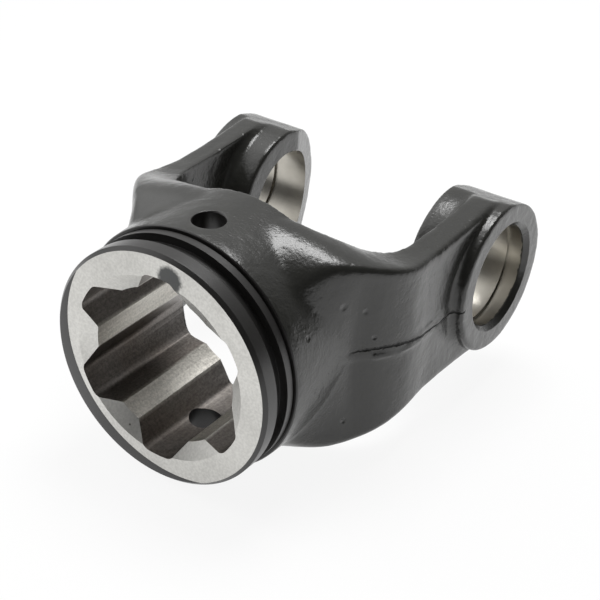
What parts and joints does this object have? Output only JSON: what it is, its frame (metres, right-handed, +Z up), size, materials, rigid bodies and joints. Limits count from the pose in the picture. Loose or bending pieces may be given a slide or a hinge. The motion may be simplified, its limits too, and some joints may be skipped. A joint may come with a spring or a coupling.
{
  "type": "driveline fork yoke",
  "caption": "Forged steel yoke: a round hub with a lobed drive bore, collar grooves and a cross pin hole, opening into a fork whose ears are bored for a universal joint cross.",
  "frame": {"origin": "where the hub's axis crosses the common axis of the two ear bores", "axes": "+X along the hub axis from the hub face towards the ears, +Y along the ear bores, +Z up, square to the plane where the two forging dies meet"},
  "size_m": [0.1077, 0.084, 0.0628],
  "materials": {
    "black_forging": "black paint with a soft sheen over forged steel, bare turned steel on the hub face and in the bores"
  },
  "bodies": {
    "root": {"forged_yoke": "black_forging"}
  },
  "joints": []
}
